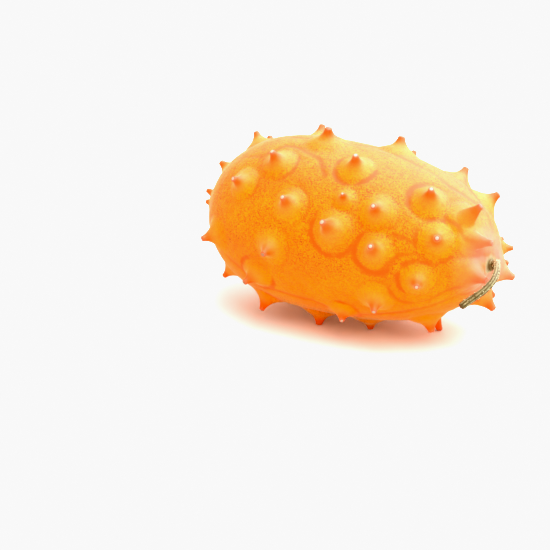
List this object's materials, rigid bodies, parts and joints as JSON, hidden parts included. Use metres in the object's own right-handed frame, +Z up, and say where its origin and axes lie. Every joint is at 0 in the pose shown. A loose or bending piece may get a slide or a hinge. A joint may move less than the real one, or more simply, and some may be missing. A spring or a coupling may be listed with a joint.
{
  "type": "horned melon",
  "caption": "Whole horned melon lying on its own horns: an oblong fruit with domed bosses and blunt horns all over, and a bent stalk.",
  "frame": {"origin": "middle of the bounding box, on the surface that the fruit lies on", "axes": "+X along the fruit to its stem end, +Z up, -Y the side that shows in the usual view"},
  "size_m": [0.1346, 0.0794, 0.0775],
  "materials": {
    "rind": "smooth satin rind, orange with fine reddish speckle, horns salmon at their tips",
    "stalk": "dry, ridged and rough, with pale specks"
  },
  "bodies": {
    "root": {"fruit": "rind", "stalk": "stalk"}
  },
  "joints": []
}
